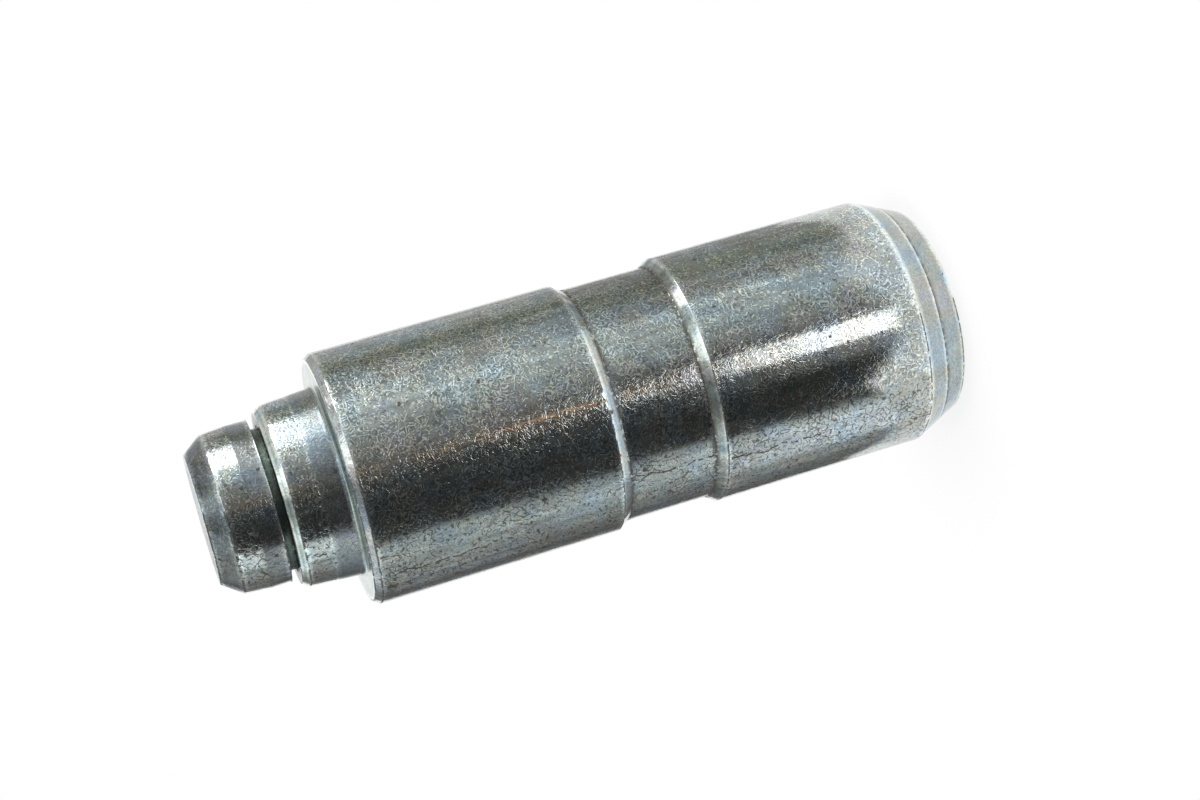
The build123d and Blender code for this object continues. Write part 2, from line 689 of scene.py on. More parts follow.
class Plater:
    """Makes the material of each finish from the shared effects."""

    ridge_width = 0.10
    curl_width = 0.06
    curl_offset = (60.0, 20.0, 90.0)
    score_depth = 0.04
    grime_and_shade: Colour = (0.10, 0.085, 0.07)
    grime_and_shade_cover = 0.8
    grime_roughness = 0.35
    # Painted highlight on mark crests, partly burnished metal, and painted shade in their furrows.
    crest_burnish_and_highlight: Colour = (1.92, 1.89, 1.78)
    furrow_painted_shade: Colour = (0.60, 0.61, 0.63)
    # The side toward -70 degrees, where the metal mirrors the pale band, gets painted shade: dark
    # curls and edge rims, partly grime, and less painted crest highlight.
    grime_and_shade_bearing = -70.0
    grime_and_shade_reach = 43.0
    grime_and_shade_border = 6.0
    dark_edge_reach = 76.0
    patch_rate = 0.35
    grain_rate = 4.2
    grain_shade = 0.15
    # Painted highlight along edges, partly rubbed plating.
    edge_wear_and_highlight = 0.9
    smooth_edge = 0.35

    def __init__(self) -> None:
        """Builds each shared effect once."""
        self.curls = CurledMarks()
        self.scratches = FineScratches()
        self.turning = TurningMarks()
        self.film = PlatingFilm()
        self.pits = Pits()
        self.scored = ScoredLine()
        self.stain_and_shade = StainAndShadePatch()

    def material(self, finish: PlatedFinish) -> bpy.types.Material:
        """Makes the finish's material.

        Args:
            finish: The finish to make.

        Returns:
            A node material that reads object coordinates and the piece's edge and crevice marks.
        """
        material = bpy.data.materials.new(finish.name)
        graph = fresh_graph(material)
        wear = self.wear(graph, finish)
        feeds = {
            "Base Color": self.colour(graph, finish, wear),
            "Metallic": 1.0,
            "Roughness": self.roughness(graph, finish, wear),
            "Normal": self.relief(graph, finish, wear),
        }
        shader = graph.out("ShaderNodeBsdfPrincipled", "BSDF", feeds)
        graph.node("ShaderNodeOutputMaterial", {"Surface": shader})
        return material

    def wear(self, graph: Graph, finish: PlatedFinish) -> Wear:
        """The masks of the finish's marks, its dirt and its painted shade."""
        place = graph.vector("SCALE", graph.out("ShaderNodeTexCoord", "Object"), scale=1.0 / MM)
        edge = graph.out("ShaderNodeAttribute", "Fac", attribute_name="edge")
        crevice = graph.out("ShaderNodeAttribute", "Fac", attribute_name="crevice")
        ridges = {"Size": finish.ridge_size, "Width": self.ridge_width, "Cover": finish.ridge_cover}
        curls = {"Size": finish.curl_size, "Width": self.curl_width, "Cover": finish.curl_cover}
        apart = graph.vector("ADD", place, self.curl_offset)
        pit = self.pits.place(graph, {"Place": place, "Share": finish.pit_share})["Mask"]
        score = self.score_mask(graph, place, finish)
        # Painted shade: dark jagged rims in hollows and along edges on the side toward -70 degrees,
        # partly grime.
        jagged = graph.rise(graph.noise(place, 1.7, 2.0), 0.36, 0.48)
        under = self.side_mask(graph, place, self.dark_edge_reach)
        side = graph.rise(graph.times(edge, under), 0.80, 0.95)
        rim = graph.times(graph.larger(crevice, side), jagged)
        return Wear(
            place=place,
            edge=edge,
            ridges=self.curls.place(graph, {"Place": place, **ridges}),
            curls=self.curls.place(graph, {"Place": apart, **curls}),
            grime_and_shade_side=self.side_mask(graph, place, self.grime_and_shade_reach),
            scratch=self.scratches.place(graph, {"Place": place})["Mask"],
            score=score,
            dirt_and_shade=graph.larger(graph.larger(pit, score), rim),
        )

    def relief(self, graph: Graph, finish: PlatedFinish, wear: Wear) -> Socket:
        """The bumped normal: ridges, curls, scratches, scores and turning marks."""
        ridge_height = graph.rise(wear.grime_and_shade_side, 0.0, 1.0, finish.ridge_height, 0.0)
        heights = [
            graph.times(wear.ridges["Depth"], ridge_height),
            graph.times(wear.curls["Depth"], -finish.curl_depth),
            graph.times(wear.scratch, -finish.scratch_depth),
            graph.times(wear.score, -self.score_depth),
        ]
        if finish.turning_depth > 0:
            band = {"Low": finish.turning_low, "High": finish.turning_high}
            feeds = {"Place": wear.place, "Pitch": finish.turning_pitch, **band}
            turning = self.turning.place(graph, feeds)["Height"]
            heights.append(graph.times(turning, finish.turning_depth))
        feeds = {"Height": graph.total(heights), "Distance": MM, "Strength": 1.0}
        return graph.out("ShaderNodeBump", "Normal", feeds)

    def colour(self, graph: Graph, finish: PlatedFinish, wear: Wear) -> Socket:
        """The plating's colour: its film, marks, random shades, stains and dirt, with painted
        highlights on mark crests and edges and painted shade in furrows, hollows and on the side
        toward -70 degrees.
        """
        place = wear.place
        tint = self.film.place(graph, {"Place": place, "Patch": finish.film_patch})["Tint"]
        tinted = graph.blend(finish.film, rgba(grey(1.0)), tint)
        body = graph.blend(1.0, rgba(finish.colour), tinted, "MULTIPLY")
        # Painted shade in each mark's furrow and painted highlight on its crest, with less of both on
        # the side toward -70 degrees.
        clean = graph.rise(wear.grime_and_shade_side, 0.0, 1.0, finish.mark_share, finish.mark_share * 0.3)
        for mark, change in (("Foot", self.furrow_painted_shade), ("Crest", self.crest_burnish_and_highlight)):
            changed = graph.blend(1.0, body, rgba(change), "MULTIPLY")
            body = graph.blend(graph.times(wear.ridges[mark], clean), body, changed)
        # Dark curls: grime in the marks everywhere, and heavier on the side toward -70 degrees as
        # painted shade.
        shown = 0.3 + 0.7 * finish.mark_share
        filled = graph.rise(wear.grime_and_shade_side, 0.0, 1.0, 0.15 * shown, 0.85 * shown)
        body = graph.blend(graph.times(wear.curls["Crest"], filled), body, rgba(self.grime_and_shade))
        patch = self.shade(graph, graph.noise(place, self.patch_rate, 2.0), finish.mottle)
        grain = self.shade(graph, graph.noise(place, self.grain_rate, 1.0), self.grain_shade)
        # Painted highlight along the edges, partly rubbed plating.
        worn = graph.plus(1.0, graph.times(wear.edge, self.edge_wear_and_highlight))
        body = graph.vector("SCALE", body, scale=graph.times(graph.times(patch, grain), worn))
        for stain_and_shade in finish.stains_and_shades:
            mask = graph.times(self.stain_and_shade.place(graph, stain_and_shade.feeds(place))["Mask"], stain_and_shade.strength)
            body = graph.blend(mask, body, graph.blend(1.0, body, rgba(stain_and_shade.colour), "MULTIPLY"))
        # Pits and scores are dirt; the rims in hollows and on edges add painted shade.
        return graph.blend(graph.times(wear.dirt_and_shade, self.grime_and_shade_cover), body, rgba(self.grime_and_shade))

    def roughness(self, graph: Graph, finish: PlatedFinish, wear: Wear) -> Socket:
        """The plating's roughness: uneven, smoother on edges and duller over dirt and painted shade.
        """
        base = finish.roughness
        rough = graph.rise(graph.noise(wear.place, 0.8, 1.0), 0.3, 0.7, base * 0.8, base * 1.25)
        rough = graph.minus(rough, graph.times(wear.edge, base * self.smooth_edge))
        return graph.math("ADD", rough, graph.times(wear.dirt_and_shade, self.grime_roughness), clamp=True)

    @staticmethod
    def shade(graph: Graph, level: Socket, depth: float) -> Socket:
        """A factor about 1 that varies by depth with a level of noise."""
        return graph.rise(level, 0.3, 0.7, 1.0 - depth, 1.0 + depth)

    def side_mask(self, graph: Graph, place: Socket, reach: float) -> Socket:
        """1 on the side toward -70 degrees, where the metal mirrors the pale band and dark marks are
        painted as shade, partly grime, and 0 elsewhere.

        Args:
            graph: The material's graph.
            place: The place in millimetres.
            reach: How far the side reaches from its middle, in degrees.

        Returns:
            The mask's output.
        """
        aside = graph.aside(graph.bearing(place), math.radians(self.grime_and_shade_bearing))
        return graph.rise(aside, math.radians(reach), math.radians(reach - self.grime_and_shade_border))

    def score_mask(self, graph: Graph, place: Socket, finish: PlatedFinish) -> Feed:
        """The mask of all the finish's scores, or 0 where it has none."""
        mask: Feed = 0.0
        for score in finish.scores:
            mask = graph.larger(mask, self.scored.place(graph, score.feeds(place))["Mask"])
        return mask


@dataclass(frozen=True)
class Corner:
    """A corner of the half section.

    Its radius from the axis, its height and the radius it is rounded to are in millimetres. stretch
    is what runs on from it towards the nose, and mark says how strongly its edge shows.
    """

    radius: float
    height: float
    stretch: Stretch
    rounding: float = 0.0
    mark: float = 1.0


@dataclass(frozen=True)
class Station:
    """A point of the finished half section, with how near it is to an edge or to an inner corner."""

    radius: float
    height: float
    stretch: Stretch
    edge: float = 0.0
    crevice: float = 0.0


@dataclass
class HalfSection:
    """The outline that is turned round the axis, with its sizes in millimetres and degrees."""

    journal_radius: float = 15.0
    lower_journal_length: float = 25.65
    upper_journal_length: float = 29.0
    lead_in_length: float = 5.5
    lead_in_angle: float = 23.5
    lead_in_first_pass: float = 2.9
    lead_in_step: float = 0.05
    waist_relief: float = 0.84
    waist_length: float = 10.35
    tool_angle: float = 35.0
    shoulder_chamfer_length: float = 0.8
    spigot_chamfer_length: float = 0.85
    spigot_root_radius: float = 11.2
    spigot_length: float = 7.2
    spigot_taper: float = 3.9
    groove_width: float = 1.0
    groove_depth: float = 1.4
    nose_base_radius: float = 9.8
    nose_length: float = 7.8
    nose_taper: float = 4.2
    nose_chamfer_length: float = 2.35
    nose_chamfer_angle: float = 37.0
    row_spacing: float = 0.42
    face_spacing: float = 1.2
    arc_steps: int = 5
    edge_reach: float = 0.22
    end_gap: float = 0.1
    shortest_run: float = 0.5
    widest_plain_face: float = 5.0
    least_arc: float = 0.05

    @staticmethod
    def drop(length: float, angle: float) -> float:
        """How much the radius falls along a cone of this length, at this angle to the axis."""
        return length * math.tan(math.radians(angle))

    def corners(self) -> list[Corner]:
        """The corners, from the axis at the end face to the axis at the nose."""
        journal = self.journal_radius
        waist = journal - self.waist_relief
        cone = self.waist_relief / math.tan(math.radians(self.tool_angle))
        mid = journal - self.drop(self.lead_in_length - self.lead_in_first_pass, self.lead_in_angle)
        end = mid - self.lead_in_step - self.drop(self.lead_in_first_pass, self.lead_in_angle)
        shoulder = journal - self.drop(self.shoulder_chamfer_length, self.tool_angle)
        spigot_run = self.spigot_length - self.spigot_chamfer_length
        spigot_edge = self.spigot_root_radius - self.drop(spigot_run, self.spigot_taper)
        spigot_end = spigot_edge - self.drop(self.spigot_chamfer_length, self.tool_angle)
        root = self.nose_base_radius - self.groove_depth
        nose_run = self.nose_length - self.nose_chamfer_length
        nose_edge = self.nose_base_radius - self.drop(nose_run, self.nose_taper)
        nose_face = nose_edge - self.drop(self.nose_chamfer_length, self.nose_chamfer_angle)

        lower_top = self.lead_in_length + self.lower_journal_length
        waist_low = lower_top + cone
        waist_high = waist_low + self.waist_length
        upper_low = waist_high + cone
        upper_top = upper_low + self.upper_journal_length
        shoulder_height = upper_top + self.shoulder_chamfer_length
        groove_low = shoulder_height + self.spigot_length
        groove_high = groove_low + self.groove_width
        top = groove_high + self.nose_length
        spigot_mid = shoulder_height + spigot_run * 0.5
        nose_mid = groove_high + nose_run * 0.45
        spigot_mid_radius = self.spigot_root_radius - self.drop(spigot_run * 0.5, self.spigot_taper)
        nose_mid_radius = self.nose_base_radius - self.drop(nose_mid - groove_high, self.nose_taper)
        return [
            Corner(0.0, 0.0, Stretch.END_FACE),
            Corner(end, 0.0, Stretch.LEAD_IN, 0.4),
            Corner(mid - self.lead_in_step, self.lead_in_first_pass, Stretch.LEAD_IN, 0.02),
            Corner(mid, self.lead_in_first_pass, Stretch.LEAD_IN, 0.02),
            Corner(journal, self.lead_in_length, Stretch.LOWER_JOURNAL, 0.2),
            Corner(journal, lower_top, Stretch.LOWER_STEP, 0.15),
            Corner(waist, waist_low, Stretch.WAIST, 0.2),
            Corner(waist, waist_high, Stretch.UPPER_STEP, 0.2),
            Corner(journal, upper_low, Stretch.UPPER_JOURNAL, 0.15),
            Corner(journal, upper_top, Stretch.SHOULDER, 0.2),
            Corner(shoulder, shoulder_height, Stretch.RECESS, 0.2),
            Corner(self.spigot_root_radius, shoulder_height, Stretch.SPIGOT_ROOT, 0.75, 0.0),
            Corner(spigot_mid_radius, spigot_mid, Stretch.SPIGOT, 0.0, 0.4),
            Corner(spigot_edge, groove_low - self.spigot_chamfer_length, Stretch.RECESS, 0.25),
            Corner(spigot_end, groove_low, Stretch.GROOVE, 0.1),
            Corner(root, groove_low, Stretch.GROOVE),
            Corner(root, groove_high, Stretch.GROOVE),
            Corner(self.nose_base_radius, groove_high, Stretch.NOSE_BASE, 0.1),
            Corner(nose_mid_radius, nose_mid, Stretch.NOSE, 0.0, 0.3),
            Corner(nose_edge, top - self.nose_chamfer_length, Stretch.NOSE_CHAMFER, 0.4),
            Corner(nose_face, top, Stretch.NOSE_FACE, 0.35),
            Corner(0.0, top, Stretch.NOSE_FACE),
        ]

    def stations(self) -> list[Station]:
        """The points of the outline, with each corner rounded by an arc and each run divided."""
        corners = self.corners()
        runs: list[list[Station]] = []
        for before, corner, after in zip(corners, corners[1:], corners[2:]):
            runs.append(self.arc(before, corner, after))
        first, last = corners[0], corners[-1]
        runs.insert(0, [Station(first.radius, first.height, first.stretch)])
        runs.append([Station(last.radius, last.height, last.stretch)])
        points: list[Station] = []
        for run, following in zip(runs, runs[1:]):
            points += run
            points += self.divided(run[-1], following[0])
        return points + runs[-1]

    def arc(self, before: Corner, corner: Corner, after: Corner) -> list[Station]:
        """The stations of one rounded corner, or the corner itself where it is sharp."""
        here = Vector((corner.radius, corner.height))
        back = (Vector((before.radius, before.height)) - here).normalized()
        ahead = (Vector((after.radius, after.height)) - here).normalized()
        bend = back.angle_signed(ahead)
        turn = math.pi - abs(bend)
        hollow = back.x * ahead.y - back.y * ahead.x > 0
        mark = {"crevice": corner.mark} if hollow else {"edge": corner.mark}
        if corner.rounding == 0.0:
            return [Station(corner.radius, corner.height, corner.stretch, **mark)]
        reach = corner.rounding * math.tan(turn / 2)
        middle = here + (back + ahead).normalized() * (corner.rounding / math.cos(turn / 2))
        start = here + back * reach - middle
        steps = self.arc_steps if corner.rounding > self.least_arc else 1
        side = 1.0 if start.x * ahead.y - start.y * ahead.x > 0 else -1.0
        made = []
        for step in range(steps + 1):
            angle = side * turn * step / steps
            x = start.x * math.cos(angle) - start.y * math.sin(angle)
            y = start.x * math.sin(angle) + start.y * math.cos(angle)
            stretch = corner.stretch if step >= steps / 2 else before.stretch
            made.append(Station(middle.x + x, middle.y + y, stretch, **mark))
        return made

    def divided(self, start: Station, end: Station) -> list[Station]:
        """The stations between two others, close to each end first and then at even spacing."""
        length = math.hypot(end.radius - start.radius, end.height - start.height)
        flat = abs(end.height - start.height) < abs(end.radius - start.radius) * 0.2
        wide = flat and length > self.widest_plain_face
        spacing = self.face_spacing if wide else self.row_spacing
        shares = []
        if length > self.shortest_run:
            gap, inner = self.end_gap, length - 2 * self.end_gap
            count = max(1, round(inner / spacing))
            shares = [gap / length]
            shares += [(gap + inner * step / count) / length for step in range(1, count)]
            shares.append(1.0 - gap / length)
        made = []
        for share in shares:
            near = self.falloff(length * share)
            far = self.falloff(length * (1 - share))
            radius = start.radius + (end.radius - start.radius) * share
            height = start.height + (end.height - start.height) * share
            edge = max(start.edge * near, end.edge * far)
            crevice = max(start.crevice * near, end.crevice * far)
            made.append(Station(radius, height, start.stretch, edge, crevice))
        return made

    def falloff(self, distance: float) -> float:
        """How strong an edge's mark still is at this distance from it."""
        return math.exp(-((distance / self.edge_reach) ** 2))


class Lathe:
    """The Geometry Nodes tree that turns a half section round the axis and wears its surface."""

    marks = ("edge", "crevice")
    merge_distance = MM * 0.001
    least_dent = 0.12
    dent_range = 0.2
    dent_share = 0.45
    sizes = (
        "Skin",
        "Wave Depth",
        "Wave Size",
        "Ripple Depth",
        "Ripple Size",
        "Dent Depth",
        "Dent Spacing",
        "Nick Depth",
        "Nick Size",
        "Seed",
    )

    def __init__(self, materials: dict[Stretch, bpy.types.Material]) -> None:
        """Builds the tree.

        Args:
            materials: The material of each stretch.
        """
        self.tree = bpy.data.node_groups.new("lathe", "GeometryNodeTree")
        self.graph = Graph(self.tree)
        ports = [("Half Section", "INPUT", "NodeSocketGeometry")]
        ports += [(name, "INPUT", "NodeSocketInt") for name in ("Rows", "Columns")]
        ports += [(name, "INPUT", "NodeSocketFloat") for name in self.sizes]
        ports += [("Bolt", "OUTPUT", "NodeSocketGeometry")]
        for name, direction, kind in ports:
            self.tree.interface.new_socket(name, in_out=direction, socket_type=kind)
        self.given = self.graph.node("NodeGroupInput").outputs
        turned = self.turn()
        worn = self.wear(turned)
        feeds = {"Geometry": worn, "Shade Smooth": True}
        shaded = self.graph.out("GeometryNodeSetShadeSmooth", "Geometry", feeds)
        whole = self.graph.out("GeometryNodeRealizeInstances", "Geometry", {"Geometry": shaded})
        dressed = self.dress(whole, materials)
        self.graph.node("NodeGroupOutput", {"Bolt": dressed})

    def kept(self, name: str, kind: str = "FLOAT") -> Socket:
        """The attribute of that name."""
        feeds = {"Name": name}
        return self.graph.out("GeometryNodeInputNamedAttribute", "Attribute", feeds, data_type=kind)

    def sample(self, value: Socket, kind: str, index: Feed) -> Socket:
        """A value at the half section's point of that index."""
        feeds = {"Geometry": self.given["Half Section"], "Value": value, "Index": index}
        return self.graph.out("GeometryNodeSampleIndex", "Value", feeds, data_type=kind, clamp=True)

    def store(self, geometry: Socket, name: str, index: Feed, kind: str, domain: str) -> Socket:
        """Gives a geometry the half section's attribute of that name."""
        value = self.sample(self.kept(name, kind), kind, index)
        feeds = {"Geometry": geometry, "Name": name, "Value": value}
        settings = {"data_type": kind, "domain": domain}
        return self.graph.out("GeometryNodeStoreNamedAttribute", "Geometry", feeds, **settings)

    def turn(self) -> Socket:
        """A grid of rows along the section and columns round the axis, wrapped into the bolt."""
        graph = self.graph
        feeds = {
            "Size X": 1.0,
            "Size Y": 1.0,
            "Vertices X": self.given["Rows"],
            "Vertices Y": graph.plus(self.given["Columns"], 1),
        }
        grid = graph.out("GeometryNodeMeshGrid", "Mesh", feeds)
        position = graph.out("GeometryNodeInputPosition", "Position")
        place = graph.parts(position)
        along = graph.times(graph.plus(place["X"], 0.5), graph.minus(self.given["Rows"], 1))
        row = graph.math("ROUND", along)
        grid = self.store(grid, "stretch", graph.math("FLOOR", along), "INT", "FACE")
        for mark in self.marks:
            grid = self.store(grid, mark, row, "FLOAT", "POINT")
        outline = graph.parts(self.sample(position, "FLOAT_VECTOR", row))
        angle = graph.times(graph.plus(place["Y"], 0.75), 2 * math.pi)
        wrapped = graph.joined(
            X=graph.times(outline["X"], graph.math("COSINE", angle)),
            Y=graph.times(outline["X"], graph.math("SINE", angle)),
            Z=outline["Z"],
        )
        feeds = {"Geometry": grid, "Position": wrapped}
        moved = graph.out("GeometryNodeSetPosition", "Geometry", feeds)
        feeds = {"Geometry": moved, "Distance": self.merge_distance}
        closed = graph.out("GeometryNodeMergeByDistance", "Geometry", feeds)
        return graph.out("GeometryNodeFlipFaces", "Mesh", {"Mesh": closed})

    def wear(self, geometry: Socket) -> Socket:
        """Sinks waves, dents and nicked edges into the surface."""
        graph, given = self.graph, self.given
        place = graph.out("GeometryNodeInputPosition", "Position")
        seeded = graph.vector("ADD", place, graph.joined(X=given["Seed"]))
        wave = graph.noise(seeded, graph.inverse(given["Wave Size"]), 1.0)
        wave = graph.times(wave, given["Wave Depth"])
        ripple = graph.noise(seeded, graph.inverse(given["Ripple Size"]))
        ripple = graph.times(ripple, given["Ripple Depth"])
        feeds = {"Vector": seeded, "Scale": graph.inverse(given["Dent Spacing"])}
        cells = graph.node("ShaderNodeTexVoronoi", feeds).outputs
        chance = graph.parts(cells["Color"])
        size = graph.plus(self.least_dent, graph.times(chance["Y"], self.dent_range))
        dent = graph.rise(cells["Distance"], size, 0.0)
        dent = graph.times(dent, graph.math("LESS_THAN", chance["X"], self.dent_share))
        dent = graph.times(dent, given["Dent Depth"])
        chips = graph.noise(seeded, graph.inverse(given["Nick Size"]), 2.0)
        nick = graph.times(graph.rise(chips, 0.45, 0.75), given["Nick Depth"])
        nick = graph.times(nick, self.kept("edge"))
        inwards = graph.times(graph.total([given["Skin"], wave, ripple, dent, nick]), -1.0)
        normal = graph.out("GeometryNodeInputNormal", "Normal")
        offset = graph.vector("SCALE", normal, scale=inwards)
        feeds = {"Geometry": geometry, "Offset": offset}
        return graph.out("GeometryNodeSetPosition", "Geometry", feeds)

    def dress(self, geometry: Socket, materials: dict[Stretch, bpy.types.Material]) -> Socket:
        """Gives each stretch its material."""
        graph = self.graph
        stretch = self.kept("stretch", "INT")
        for wanted, material in materials.items():
            feeds = {"A": stretch, "B": wanted.value}
            settings = {"data_type": "INT", "operation": "EQUAL"}
            same = graph.out("FunctionNodeCompare", "Result", feeds, **settings)
            feeds = {"Geometry": geometry, "Selection": same, "Material": material}
            geometry = graph.out("GeometryNodeSetMaterial", "Geometry", feeds)
        return geometry


@dataclass
class PivotBolt:
    """The bolt itself: one turned and plated piece. Depths and sizes are in millimetres."""

    section: HalfSection = field(default_factory=HalfSection)
    columns: int = 288
    wear: dict[str, float] = field(
        default_factory=lambda: {
            "Skin": 0.003,
            "Wave Depth": 0.012,
            "Wave Size": 4.5,
            "Ripple Depth": 0.010,
            "Ripple Size": 1.7,
            "Dent Depth": 0.03,
            "Dent Spacing": 4.0,
            "Nick Depth": 0.035,
            "Nick Size": 0.5,
            "Seed": 3.7,
        }
    )

    def finishes(self) -> dict[Stretch, PlatedFinish]:
        """The finish of each stretch."""
        cone = {
            "film": 1.0,
            "roughness": 0.07,
            "mark_share": 0.08,
            "ridge_height": 0.0005,
            "ridge_cover": 0.3,
            "curl_depth": 0.002,
            "pit_share": 0.15,
        }
        face = {"turning_depth": 0.006, "turning_pitch": 0.3}
        sheltered = {"mark_share": 0.1, "ridge_height": 0.001, "pit_share": 0.1}
        return {
            Stretch.END_FACE: PlatedFinish("turned_end", roughness=0.28, **face),
            Stretch.LEAD_IN: PlatedFinish(
                "lead_in_cone", turning_depth=0.010, turning_pitch=0.3, **cone
            ),
            Stretch.LOWER_JOURNAL: PlatedFinish(
                "lower_journal",
                ridge_height=0.0014,
                ridge_cover=0.45,
                scores=(Score(-44.0, 19.0, 31.0),),
            ),
            Stretch.LOWER_STEP: PlatedFinish("lower_step", turning_depth=0.003, **cone),
            Stretch.WAIST: PlatedFinish(
                "waist",
                ridge_height=0.0020,
                roughness=0.12,
                scores=(Score(-42.0, 32.0, 43.0),),
                stains_and_shades=(
                    StainAndShade(80.0, 22.0, 31.0, 45.0, (0.55, 0.48, 0.40), 0.8, 1.6),
                    # Painted shade: a broad grey darkening over the waist's upper half on the camera
                    # side.
                    StainAndShade(48.0, 46.0, 28.0, 48.0, (0.62, 0.62, 0.64), 1.0, 30.0),
                ),
            ),
            Stretch.UPPER_STEP: PlatedFinish("upper_step", turning_depth=0.003, **cone),
            Stretch.UPPER_JOURNAL: PlatedFinish(
                "upper_journal",
                turning_depth=0.022,
                turning_pitch=0.45,
                turning_low=68.5,
                turning_high=74.5,
                scores=(Score(-52.0, 60.0, 72.0),),
            ),
            Stretch.SHOULDER: PlatedFinish(
                "shoulder",
                colour=(0.36, 0.37, 0.375),
                roughness=0.16,
                mark_share=0.25,
                turning_depth=0.002,
            ),
            # Painted reflection: the shoulder face, root fillet and spigot chamfer are lighter and
            # greener, as a pale glow.
            Stretch.RECESS: PlatedFinish(
                "recess", colour=(0.55, 0.62, 0.58), roughness=0.16, **sheltered
            ),
            Stretch.SPIGOT_ROOT: PlatedFinish(
                "spigot_root",
                colour=(0.34, 0.365, 0.375),
                roughness=0.20,
                mark_share=0.4,
                ridge_height=0.004,
                turning_depth=0.003,
                turning_pitch=0.3,
            ),
            Stretch.SPIGOT: PlatedFinish(
                "spigot",
                roughness=0.08,
                ridge_height=0.0045,
                curl_depth=0.004,
                scores=(Score(-44.0, 74.5, 79.0),),
            ),
            # Painted shade: the groove's dark colour stands for the shade inside it.
            Stretch.GROOVE: PlatedFinish(
                "groove", colour=(0.15, 0.20, 0.18), roughness=0.22, **sheltered
            ),
            Stretch.NOSE_BASE: PlatedFinish(
                "nose_base",
                colour=(0.36, 0.38, 0.39),
                roughness=0.15,
                mark_share=0.5,
                turning_depth=0.002,
            ),
            Stretch.NOSE: PlatedFinish(
                "nose", roughness=0.08, ridge_height=0.004, curl_depth=0.004
            ),
            Stretch.NOSE_CHAMFER: PlatedFinish(
                "nose_chamfer",
                colour=(0.235, 0.25, 0.25),
                roughness=0.26,
                mark_share=0.6,
                mottle=0.18,
                pit_share=0.7,
                stains_and_shades=(StainAndShade(38.0, 34.0, 87.9, 90.5, (0.50, 0.48, 0.46), 1.0, 1.0),),
            ),
            Stretch.NOSE_FACE: PlatedFinish("nose_face", roughness=0.30, **face),
        }

    def half_section_object(self) -> tuple[bpy.types.Object, int]:
        """An object whose mesh is the half section, as a chain of points.

        Returns:
            The object and how many points it has.
        """
        stations = self.section.stations()
        mesh = bpy.data.meshes.new(NODE + "_body")
        points = [(s.radius * MM, 0.0, s.height * MM) for s in stations]
        mesh.from_pydata(points, [(i, i + 1) for i in range(len(points) - 1)], [])
        for mark in Lathe.marks:
            values = [getattr(s, mark) for s in stations]
            mesh.attributes.new(mark, "FLOAT", "POINT").data.foreach_set("value", values)
        zones = [s.stretch.value for s in stations]
        mesh.attributes.new("stretch", "INT", "POINT").data.foreach_set("value", zones)
        return set_out(NODE + "_body", mesh), len(points)

    def build(self) -> bpy.types.Object:
        """Turns, wears and dresses the bolt.

        Returns:
            The finished piece, a plain mesh that stands for the CAD node.
        """
        plater = Plater()
        finishes = self.finishes()
        materials = {stretch: plater.material(finish) for stretch, finish in finishes.items()}
        lathe = Lathe(materials)
        piece, rows = self.half_section_object()
        modifier = piece.modifiers.new("lathe", "NODES")
        modifier.node_group = lathe.tree
        values: dict[str, Union[int, float]] = {"Rows": rows, "Columns": self.columns}
        for name, size in self.wear.items():
            values[name] = size if name == "Seed" else size * MM
        for item in lathe.tree.interface.items_tree:
            if item.in_out == "INPUT" and item.name in values:
                modifier[item.identifier] = values[item.name]
        graph = bpy.context.evaluated_depsgraph_get()
        finished = bpy.data.meshes.new_from_object(piece.evaluated_get(graph), depsgraph=graph)
        piece.modifiers.remove(modifier)
        piece.data = finished
        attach(piece, BODY)
        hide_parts(NODE)
        return piece


# ---------------------------------------------------------------------------------------------
# The studio
# ---------------------------------------------------------------------------------------------


@dataclass(frozen=True)
class Panel:
    """A lamp box or a dark flag that the metal mirrors, by where it stands as seen from the bolt.

    bearing is in degrees round from the camera's side, towards +X. height is in degrees above the
    horizon. The half width, the half height and the softness of its border are in degrees too.
    """

    name: str
    bearing: float
    height: float
    half_width: float
    half_height: float
    softness: float
    light: Colour


class Tint(Enum):
    """The slight colour of a light in the room."""

    PLAIN = (1.0, 1.0, 1.0)
    COOL = (0.93, 1.0, 1.02)
    OLIVE = (1.0, 1.02, 0.85)
    WARM = (1.1, 0.98, 0.88)


@dataclass(frozen=True)
class Ring:
    """One ring of the room that the metal mirrors: its lights and darks by bearing in degrees.

    The first ring is seen at all heights. A later one takes over beyond edge, in degrees above the
    horizon: upwards where softness is positive, and downwards where it is negative.
    """

    name: str
    edge: float
    softness: float
    stops: tuple[tuple[float, float, Tint], ...]


def shows_backdrop(graph: Graph) -> Socket:
    """1 for the rays that show the white backdrop: the camera's, and those of metal and glass."""
    ray = graph.node("ShaderNodeLightPath").outputs
    return graph.larger(
        graph.larger(ray["Is Camera Ray"], ray["Is Glossy Ray"]), ray["Is Transmission Ray"]
    )


